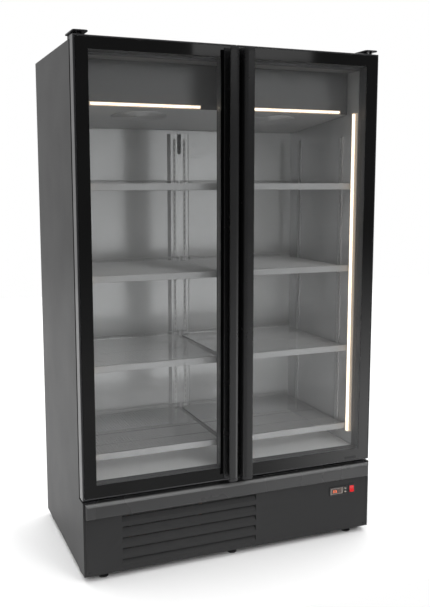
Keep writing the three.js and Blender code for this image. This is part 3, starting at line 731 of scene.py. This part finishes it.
def vertical_lamps():
    low, high = cad("right_vertical_lamp")
    for name, side in SIDES:
        bm = bmesh.new()
        cover = [
            (high.x - 9, low.y + 5, 0),
            (low.x, low.y + 5, 4),
            (low.x, high.y - 5, 4),
            (high.x - 9, high.y - 5, 0),
        ]
        prism(bm, "z", filleted(cover), low.z + 4, high.z - 4)
        node = f"{name}_vertical_lamp"
        piece(node + "_cover", bm, PAINT["lamp"], "cabinet", [node], side)
        bm = bmesh.new()
        block(bm, (high.x - 9.2, low.y, low.z), (high.x, high.y, high.z), 0.8)
        for z in (low.z, high.z - 4):
            block(bm, (low.x + 0.5, low.y + 0.3, z), (high.x - 1, high.y - 0.3, z + 4), 1.5)
        # The channel's faint emission is a painted glow.
        piece(node + "_channel", bm, PAINT["channel_painted_glow"], "cabinet", side=side)


horizontal_lamps()
vertical_lamps()

# ---- Doors ----

PANE_INSET = 6.3
REVEAL = 6.0
CLEAR_LOW, CLEAR_HIGH = cad("right_rear_pane")
CLEAR = (CLEAR_LOW.x - 0.3, CLEAR_HIGH.x + 0.3, CLEAR_LOW.z - 0.3, CLEAR_HIGH.z + 0.3)


def door_frame(name, side):
    """A deep moulded frame with a rounded front edge, its face set back to hold the front pane."""
    low, high = cad("right_door_frame")
    outer = (low.x, high.x, low.z, high.z)
    back = high.y
    corner = 5.0
    stations = []
    for step in range(7):
        angle = math.pi / 2 * step / 6
        stations.append((inset(outer, corner * (1 - math.cos(angle))), corner * (1 - math.sin(angle))))
    stations += [
        (inset(outer, PANE_INSET - 0.5), 0.0),
        (inset(outer, PANE_INSET), 0.5),
        (inset(outer, PANE_INSET), 3.5),
        (inset(CLEAR, -REVEAL), 3.5),
        (inset(CLEAR, -REVEAL), back - 0.2),
        (inset(outer, 1), back - 0.2),
        (outer, back - 1.2),
    ]
    bm = bmesh.new()
    frame_ring(bm, stations)
    node = f"{name}_door_frame"
    piece(node + "_moulding", bm, PAINT["door_side"], f"{name}_door", [node], side)
    stations = [
        (inset(CLEAR, -REVEAL), 3.5),
        (CLEAR, 3.5),
        (CLEAR, back - 4),
        (inset(CLEAR, -1.2), back - 1.2),
        (inset(CLEAR, -4), back),
        (inset(CLEAR, -REVEAL), back),
    ]
    bm = bmesh.new()
    frame_ring(bm, stations)
    piece(f"{name}_door_reveal", bm, PAINT["reveal"], f"{name}_door", side=side)


def door_glass(name, side):
    """The front pane with its black lacquered border, and the rear pane."""
    body = f"{name}_door"
    low, high = cad("right_front_pane")
    bm = bmesh.new()
    block(bm, low, high)
    node = f"{name}_front_pane"
    piece(node + "_glass", bm, PAINT["front_glass"], body, [node], side, shadow=False)
    printed = (low.x + 0.5, high.x - 0.5, low.z + 0.5, high.z - 0.5)
    bm = bmesh.new()
    front, back = low.y - 0.12, low.y - 0.02
    frame_ring(bm, [(printed, front), (CLEAR, front), (CLEAR, back), (printed, back)])
    piece(f"{name}_border_print", bm, PAINT["gloss_black"], body, side=side)
    low, high = cad("right_rear_pane")
    bm = bmesh.new()
    block(bm, low, high)
    node = f"{name}_rear_pane"
    piece(node + "_glass", bm, PAINT["rear_glass"], body, [node], side, shadow=False)


def gasket(name, side):
    """A magnet strip on a narrower bellows neck."""
    low, high = cad("right_gasket")
    outer = (low.x, high.x, low.z, high.z)
    depth = high.y - low.y
    section = [
        (4, 0), (3, 0.1), (4.5, 0.24), (2.5, 0.32), (0.6, 0.4), (0, 0.5), (0, 0.93), (0.8, 1),
        (17.2, 1), (18, 0.93), (18, 0.5), (17.4, 0.4), (15.5, 0.32), (13.5, 0.24), (15, 0.1), (14, 0),
    ]
    bm = bmesh.new()
    frame_ring(bm, [(inset(outer, d), low.y + depth * t) for d, t in section])
    node = f"{name}_gasket"
    piece(node + "_seal", bm, PAINT["rubber"], f"{name}_door", [node], side)


def grip(name, side):
    """A full-height grip whose lip turns towards the glass, with a moulded cap at each end."""
    low, high = cad("right_grip")
    front = low.y
    section = [
        (low.x, 0, 0),
        (low.x, front, 17),
        (50, front, 2.6),
        (50, front + 6, 2.6),
        (22, front + 6, 7),
        (22, -4, 3),
        (high.x, -4, 2),
        (high.x, 0, 0.5),
    ]
    outline = filleted(section, 8)
    bm = bmesh.new()
    cap = 12
    prism(bm, "z", outline, low.z + cap, high.z - cap)
    node = f"{name}_grip"
    piece(node + "_profile", bm, PAINT["grip"], f"{name}_door", [node], side)
    bm = bmesh.new()
    for z0, z1 in ((low.z, low.z + cap - 0.4), (high.z - cap + 0.4, high.z)):
        prism(bm, "z", outline, z0, z1)
    piece(f"{name}_grip_caps", bm, PAINT["black_plastic"], f"{name}_door", side=side, edge=0.7)


def door_plug(name, side):
    """A moulded plug set in the border's lower outer corner."""
    bm = bmesh.new()
    outline = filleted([(505, 337, 4.9), (561, 337, 4.9), (561, 347, 4.9), (505, 347, 4.9)], 6)
    loft(bm, [[(x, y, z) for x, z in outline] for y in (0.25, -0.7)])
    piece(f"{name}_door_plug", bm, PAINT["black_plastic"], f"{name}_door", side=side)


for side_name, side_sign in SIDES:
    door_frame(side_name, side_sign)
    door_glass(side_name, side_sign)
    gasket(side_name, side_sign)
    grip(side_name, side_sign)
door_plug("right", 1)


def hinges():
    for name, side in SIDES:
        low, high = cad("right_top_hinge")
        outline = filleted([(low.x, low.y, 11), (high.x, low.y, 11), (high.x, high.y, 7), (low.x, high.y, 7)])
        bm = bmesh.new()
        plate = high.z - 0.9
        loft(
            bm,
            [[(x, y, high.z - 6) for x, y in outline]]
            + [[(x, y, plate - 0.6) for x, y in outline]]
            + [[(x + (595 - x) * 0.02, y + (67 - y) * 0.012, plate) for x, y in outline]],
        )
        block(bm, (575, 66, low.z + 4.6), (615, 128, high.z - 5.8), 1.5)
        lathe(bm, "z", (600, 24), [(5, 2003), (5, 2029)], 24)
        node = f"{name}_top_hinge"
        piece(node + "_bracket", bm, PAINT["black_steel"], "cabinet", [node], side)
        bm = bmesh.new()
        for y in (84, 112):
            screw_head(bm, "z", (595, y), plate, 0.85, 6.5)
        screw_head(bm, "z", (600, 24), plate, 0.85, 7.5)
        piece(f"{name}_top_hinge_screws", bm, PAINT["steel"], "cabinet", side=side)
        softened(f"{name}_bottom_hinge", PAINT["black_steel"], edge=0.8)


hinges()

# ---- Base ----


def sill_nose(low, high):
    """The sill's rounded front, in (y, z)."""
    return [(-0.3, low.z, 0), (low.y, low.z, 6), (low.y, high.z, 14)]


def paint_edge_highlight(obj):
    """Gives the rounded upper front edge of a sill piece a paler paint: a painted highlight of the light from
    above.
    """
    obj.data.materials.append(PAINT["sill_highlight"])
    for face in obj.data.polygons:
        # Faces that turn up and forward take the painted highlight.
        if face.normal.y < 0 and 0.2 < face.normal.z < 0.97:
            face.material_index = 1


def sill():
    low, high = cad("sill_bar")
    ledge = [
        (18, high.z, 0.8),
        (19, high.z - 1, 0.4),
        (21, high.z - 1, 0.4),
        (22, high.z, 0.8),
        (high.y, high.z, 0.8),
        (high.y, high.z - 3, 0),
        (-0.3, high.z - 3, 0),
    ]
    outline = filleted(sill_nose(low, high) + ledge, 8)
    bm = bmesh.new()
    prism(bm, "x", outline, low.x, high.x)
    paint_edge_highlight(piece("sill_bar_profile", bm, PAINT["sill"], "cabinet", ["sill_bar"]))
    for name, side in SIDES:
        cap_low, cap_high = cad("right_sill_cap")
        nose = filleted(sill_nose(low, high) + [(-0.5, high.z, 0)], 8)
        corner = 7.0
        rings = [[(cap_low.x, y, z) for y, z in nose]]
        for step in range(7):
            angle = math.pi / 2 * step / 6
            x = cap_high.x - corner + corner * math.sin(angle)
            reach = low.y + corner * (1 - math.cos(angle))
            rings.append([(x, max(y, reach), z) for y, z in nose])
        bm = bmesh.new()
        loft(bm, rings)
        block(bm, (cap_low.x, -0.6, high.z - 3), (cap_high.x - 4.2, cap_high.y, high.z), 0.5)
        node = f"{name}_sill_cap"
        paint_edge_highlight(piece(node + "_moulding", bm, PAINT["sill_cap"], "cabinet", [node], side))


def panel_screws():
    low, high = cad("lower_front_panel")
    bm = bmesh.new()
    for x in (low.x + 9, high.x - 9):
        screw_head(bm, "y", (x, low.z + 13), 0.2, -1.8, 4.2)
    piece("front_panel_screws", bm, PAINT["black_steel"], "cabinet")


def levelling_feet():
    for name in ("left", "centre", "right"):
        node = f"{name}_foot"
        low, high = cad(node)
        centre = ((low.x + high.x) / 2, (low.y + high.y) / 2)
        bm = bmesh.new()
        pad = [(1, 0), (15, 0), (17, 0.3), (18.4, 1.6), (19, 3.4)]
        pad += [(18.6, 5.4), (15, 7.2), (10, 9), (8, 11.5), (5, 12)]
        lathe(bm, "z", centre, pad, 36)
        piece(node + "_pad", bm, PAINT["foot"], node, [node])
        bm = bmesh.new()
        lathe(bm, "z", centre, [(8.5, 12.2), (9.2, 13), (9.2, 17), (8.5, 17.8)], 6)
        thread = [(4.2, 11)]
        for turn in range(29):
            thread += [(4.95, 12 + turn * 2), (4.3, 13 + turn * 2)]
        lathe(bm, "z", centre, thread, 20)
        piece(node + "_stud", bm, PAINT["steel"], node)


def wheels():
    for name, side in SIDES:
        for end in ("front", "rear"):
            node = f"{name}_{end}_wheel"
            low, high = cad(f"right_{end}_wheel")
            centre = ((low.y + high.y) / 2, (low.z + high.z) / 2)
            x0, x1 = low.x, high.x
            profile = [
                (5.35, x0), (14, x0), (15.5, x0 + 1.5), (16, x0 + 5),
                (34, x0 + 5), (36, x0 + 1), (44, x0 + 0.3),
                (48, x0 + 2), (50, x0 + 6), (50, x1 - 6), (48, x1 - 2), (44, x1 - 0.3), (36, x1 - 1),
                (34, x1 - 5), (16, x1 - 5), (15.5, x1 - 1.5), (14, x1), (5.35, x1),
            ]
            bm = bmesh.new()
            lathe(bm, "x", centre, profile, 48)
            piece(node + "_roller", bm, PAINT["wheel"], node, [node], side)


sill()
softened("lower_front_panel", PAINT["front"], edge=0.5)
panel_screws()
levelling_feet()
wheels()

# ---- Controls ----


def rounded_plate(bm, x0, x1, z0, z1, y0, y1, radius, edge):
    """A plate in the x-z plane with round corners, its front edge eased. y0 is the front."""
    rings = []
    for inward, y in ((0, y1), (0, y0 + edge), (edge * 0.3, y0 + edge * 0.3), (edge, y0)):
        r = radius - inward
        corners = [(x0 + inward, z0 + inward, r), (x1 - inward, z0 + inward, r)]
        corners += [(x1 - inward, z1 - inward, r), (x0 + inward, z1 - inward, r)]
        rings.append([(x, y, z) for x, z in filleted(corners, 5)])
    loft(bm, rings)


def rounded_ring(bm, outer, inner, stations, radii):
    """A bezel: stations are (share of the way from outer to inner, y)."""
    rings = []
    for share, y in stations:
        rect = [a + (b - a) * share for a, b in zip(outer, inner)]
        r = radii[0] + (radii[1] - radii[0]) * share
        corners = [(rect[0], rect[2], r), (rect[1], rect[2], r), (rect[1], rect[3], r), (rect[0], rect[3], r)]
        rings.append([(x, y, z) for x, z in filleted(corners, 5)])
    loft(bm, rings, closed=True)


SEGMENTS = {"3": "abgcd", "5": "afgcd"}


def digit(bm, x, z, figure, y0, y1, width=5.4, height=11.0, stroke=1.2):
    """A seven-segment figure whose lower left corner is at x, z."""
    half = height / 2
    bars = {
        "a": (0, height - stroke, width, height),
        "g": (0, half - stroke / 2, width, half + stroke / 2),
        "d": (0, 0, width, stroke),
        "f": (0, half, stroke, height),
        "b": (width - stroke, half, width, height),
        "e": (0, 0, stroke, half),
        "c": (width - stroke, 0, width, half),
    }
    for name in SEGMENTS[figure]:
        a, b, c, d = bars[name]
        block(bm, (x + a + 0.15, y0, z + b + 0.15), (x + c - 0.15, y1, z + d - 0.15), 0.15, 1)


def controller():
    low, high = cad("controller")
    outer = (low.x, high.x, low.z, high.z)
    face = (low.x + 5, high.x - 5, low.z + 5, high.z - 5)
    bm = bmesh.new()
    stations = [(0, -0.3), (0, -2.6), (0.15, -3.6), (0.4, -4.0)]
    stations += [(0.75, -4.0), (1, -3.4), (1, -1.5), (0.9, -0.3)]
    rounded_ring(bm, outer, face, stations, (4, 2))
    block(bm, (low.x + 5.5, 0.2, low.z + 5.5), (high.x - 5.5, high.y, high.z - 5.5), 1)
    piece("controller_case", bm, PAINT["black_plastic"], "cabinet", ["controller"])
    bm = bmesh.new()
    rounded_plate(bm, face[0] + 0.1, face[1] - 15, face[2] + 0.1, face[3] - 0.1, -2.6, -0.4, 1.5, 0.5)
    piece("controller_face", bm, PAINT["grey_face"], "cabinet")
    bm = bmesh.new()
    rounded_plate(bm, face[0] + 7, face[1] - 24, face[2] + 4.5, face[3] - 4.5, -3.0, -2.5, 1.5, 0.3)
    piece("controller_display", bm, PAINT["display"], "cabinet")
    bm = bmesh.new()
    for x, figure in ((face[0] + 13, "3"), (face[0] + 24, "5")):
        digit(bm, x, face[2] + 8.5, figure, -3.15, -2.9)
    block(bm, (face[0] + 20.4, -3.15, face[2] + 8.6), (face[0] + 21.8, -2.9, face[2] + 10), 0.2, 1)
    piece("controller_digits", bm, PAINT["digit"], "cabinet")


def controller_buttons():
    for node, up in (("button_up", 1), ("button_down", -1)):
        low, high = cad(node)
        bm = bmesh.new()
        rounded_plate(bm, low.x, high.x, low.z, high.z, low.y + 0.3, high.y, 1.4, 0.7)
        middle = (low + high) / 2
        foot, tip = middle.z - 1.2 * up, middle.z + 1.6 * up
        mark = [(middle.x - 2, foot), (middle.x + 2, foot), (middle.x, tip)]
        prism(bm, "y", mark, low.y, low.y + 0.5)
        piece(node + "_cap", bm, PAINT["button"], node, [node])


def rocker_switch():
    low, high = cad("switch_bezel")
    outer = (low.x, high.x, low.z, high.z)
    mouth = (low.x + 4.5, high.x - 4.5, low.z + 4.5, high.z - 4.5)
    bm = bmesh.new()
    stations = [(0, -0.3), (0, -1.8), (0.2, -2.7), (0.5, -3.0), (0.85, -2.8)]
    stations += [(1, -2.2), (1, 14), (0.6, 14), (0.6, -0.3)]
    rounded_ring(bm, outer, mouth, stations, (3, 1.2))
    block(bm, (mouth[0] - 1.5, 14.2, mouth[2] - 1.5), (mouth[1] + 1.5, high.y, mouth[3] + 1.5), 1)
    piece("switch_bezel_moulding", bm, PAINT["black_plastic"], "cabinet", ["switch_bezel"])
    rocker_low, rocker_high = cad("switch_rocker")
    pivot_y, pivot_z, tilt = 3.0, (low.z + high.z) / 2, math.radians(7)
    section = [(1, -13.6, 1.5), (-7.5, -13.6, 1.2), (-5.4, 0, 30), (-7.5, 13.6, 1.2)]
    section += [(1, 13.6, 1.5), (4, 3, 1), (4, -3, 1)]
    turn = Matrix.Rotation(-tilt, 2)
    outline = []
    for y, z in filleted(section, 6):
        turned = turn @ Vector((y, z))
        outline.append((pivot_y + turned.x, pivot_z + turned.y))
    bm = bmesh.new()
    prism(bm, "x", outline, rocker_low.x, rocker_high.x)
    piece("switch_rocker_cap", bm, PAINT["red"], "switch_rocker", ["switch_rocker"], edge=0.6)


controller()
controller_buttons()
rocker_switch()

# ---- Machine compartment ----


def condenser():
    low, high = cad("condenser_unit")
    x0, x1, z0, z1 = low.x, high.x, low.z, high.z
    fan_low, fan_high = cad("condenser_fan")
    centre = (fan_low + fan_high) / 2
    bm = bmesh.new()
    fin_block(bm, x0 + 12, x1 - 12, 27, 74, z0 + 2, z1 - 2, 4)
    piece("condenser_fins", bm, PAINT["aluminium"], "cabinet", ["condenser_unit"])
    bm = bmesh.new()
    coil_tubes(bm, x0 + 10, x1 - 10, 30, 72, z0 + 5, z1 - 5, 8, 3, 4)
    piece("condenser_tubes", bm, PAINT["copper"], "cabinet")
    bm = bmesh.new()
    turns = [2 * math.pi * (k + 0.5) / 48 for k in range(48)]
    half_x, half_z = (x1 - x0) / 2 - 0.6, (z1 - z0) / 2 - 0.6

    def square(y):
        ring = []
        for t in turns:
            reach = min(half_x / max(abs(math.cos(t)), 1e-6), half_z / max(abs(math.sin(t)), 1e-6))
            ring.append((centre.x + reach * math.cos(t), y, centre.z + reach * math.sin(t)))
        return ring

    def circle(y, radius):
        return [(centre.x + radius * math.cos(t), y, centre.z + radius * math.sin(t)) for t in turns]

    outside = [square(78.5), square(108), circle(110, 104), circle(114, 99)]
    inside = [circle(114, 97.5), circle(108, 102), square(106), square(80)]
    loft(bm, outside + inside, True)
    for z in (z0 + 3, z1 - 6):
        block(bm, (centre.x - 11, 105, z), (centre.x + 11, 208, z + 2.5), 0.5)
    block(bm, (centre.x - 12, 206, z0 + 3), (centre.x + 12, 208.6, z1 - 3.5), 0.5)
    piece("condenser_shroud", bm, PAINT["black_steel"], "cabinet")
    bm = bmesh.new()
    motor = [(3.9, 123), (3.9, 158), (14, 158), (16, 160), (30, 163)]
    motor += [(33, 168), (33, 198), (30, 204), (12, 205.8)]
    lathe(bm, "y", (centre.x, centre.z), motor, 32)
    piece("condenser_fan_motor", bm, PAINT["black_plastic"], "cabinet")


def compressor():
    low, high = cad("compressor")
    x, y = 290, 500
    bm = bmesh.new()
    shell = [(40, 79), (76, 80), (86, 88), (92, 104), (95, 130), (95, 152), (98, 153), (98, 157), (95, 158)]
    shell += [(95, 190), (91, 222), (82, 243), (64, 258), (36, 265.5), (4, 267)]
    lathe(bm, "z", (x, y), shell, 56)
    block(bm, (x - 110, y - 95, 74), (x + 110, y + 95, 77.5), 1)
    tube(bm, [(x + 70, y, 215), (x + 80, y, 240), (x + 80, y, 275), (x + 80, y, 299)], 5, 12)
    piece("compressor_shell", bm, PAINT["black_steel"], "cabinet", ["compressor"])
    bm = bmesh.new()
    for i in (-1, 1):
        for j in (-1, 1):
            grommet = [(6, 62.5), (12, 62.8), (12, 66), (10, 68), (12, 70), (12, 73.6), (6, 74)]
            lathe(bm, "z", (x + i * 95, y + j * 80), grommet, 20)
    piece("compressor_grommets", bm, PAINT["rubber"], "cabinet")
    bm = bmesh.new()
    block(bm, (x - 30, y - 113, 118), (x + 30, y - 88, 178), 4, 3)
    piece("compressor_terminal_cover", bm, PAINT["black_plastic"], "cabinet")


condenser()
fan_blades("condenser_fan", "condenser_fan", "y", 5, 90, 24, 30)
compressor()
softened("mains_inlet_box", PAINT["black_plastic"], edge=0.8)

# ---- Light and floor ----


def area_light(name, position, target, size, power, colour=(1, 1, 1)):
    data = bpy.data.lights.new(name, "AREA")
    data.shape = "RECTANGLE"
    data.size, data.size_y = size
    data.energy = power
    data.color = colour
    light = bpy.data.objects.new(name, data)
    light.location = position
    light.rotation_euler = (Vector(target) - Vector(position)).to_track_quat("-Z", "Y").to_euler()
    bpy.context.scene.collection.objects.link(light)
    return light


def studio():
    """A pale floor, a white surround that is bright behind the object, a key and a glossy softbox from the
    front right, and a low fill into the lower shelves."""
    width, depth, middle_y = 14, 8.2, 3.31
    bpy.ops.mesh.primitive_plane_add(size=1, location=(0, middle_y, 0))
    floor = bpy.context.object
    floor.scale = (width, depth, 1)
    floor.name = "floor"
    paint = Paint("floor", (0.95, 0.95, 0.95), 0.7, Specular_IOR_Level=0.2)
    paint.tones(paint.noise(3, 2), (0.94, 0.94, 0.94), (0.96, 0.96, 0.96))
    floor.data.materials.append(paint.material)

    world = bpy.data.worlds.new("surround")
    world.use_nodes = True
    nodes, links = world.node_tree.nodes, world.node_tree.links
    background = nodes["Background"]
    background.inputs["Color"].default_value = (1, 1, 1, 1)
    axes = nodes.new("ShaderNodeSeparateXYZ")
    links.new(nodes.new("ShaderNodeTexCoord").outputs["Generated"], axes.inputs[0])

    def glow(axis, low, high, strength):
        """Brightness that rises from none at low to strength at high along a direction's axis."""
        ramp = nodes.new("ShaderNodeMapRange")
        ramp.interpolation_type = "SMOOTHSTEP"
        for name, value in zip(("From Min", "From Max", "To Min", "To Max"), (low, high, 0, strength)):
            ramp.inputs[name].default_value = value
        links.new(axes.outputs[axis], ramp.inputs["Value"])
        return ramp.outputs["Result"]

    def combine(operation, a, b):
        node = nodes.new("ShaderNodeMath")
        node.operation = operation
        for socket, value in zip(node.inputs, (a, b)):
            if isinstance(value, float):
                socket.default_value = value
            else:
                links.new(value, socket)
        return node.outputs["Value"]

    light = combine("ADD", glow("Y", -0.2, 0.4, 0.75), glow("Z", 0.3, 0.95, 1.68))
    light = combine("ADD", light, 0.06)
    # White where the camera or a view through glass sees it, and a dimmer glow of its own in reflections.
    path = nodes.new("ShaderNodeLightPath").outputs
    mirrored = combine("SUBTRACT", path["Is Glossy Ray"], path["Is Transmission Ray"])
    from_right = combine("ADD", glow("X", 0.36, 0.58, 1.9), 0.25)
    below = combine("MULTIPLY", glow("Z", -0.05, -0.3, 1), from_right)
    mirrored = combine("MULTIPLY", mirrored, combine("ADD", below, 0.17))
    seen = combine("MAXIMUM", path["Is Camera Ray"], path["Is Transmission Ray"])
    seen = combine("MAXIMUM", seen, mirrored)
    links.new(combine("MAXIMUM", light, seen), background.inputs["Strength"])
    bpy.context.scene.world = world

    key = area_light("key", (1.4, -4.74, 3.5), (0, 0, 1.1), (1.6, 1.6), 95)
    key.visible_glossy = False
    key.visible_transmission = False
    low_fill = area_light("low_fill", (-0.4, -3.4, 0.5), (0, 0.3, 0.3), (1.4, 0.4), 3.0)
    low_fill.data.spread = math.radians(36)
    low_fill.visible_glossy = False
    low_fill.visible_transmission = False
    softbox = area_light("softbox", (2.2, -4.88, 3.204), (2.2, 0, 3.204), (1.29, 1.0), 5)
    softbox.visible_diffuse = False
    bpy.context.scene.view_settings.view_transform = "Standard"


studio()
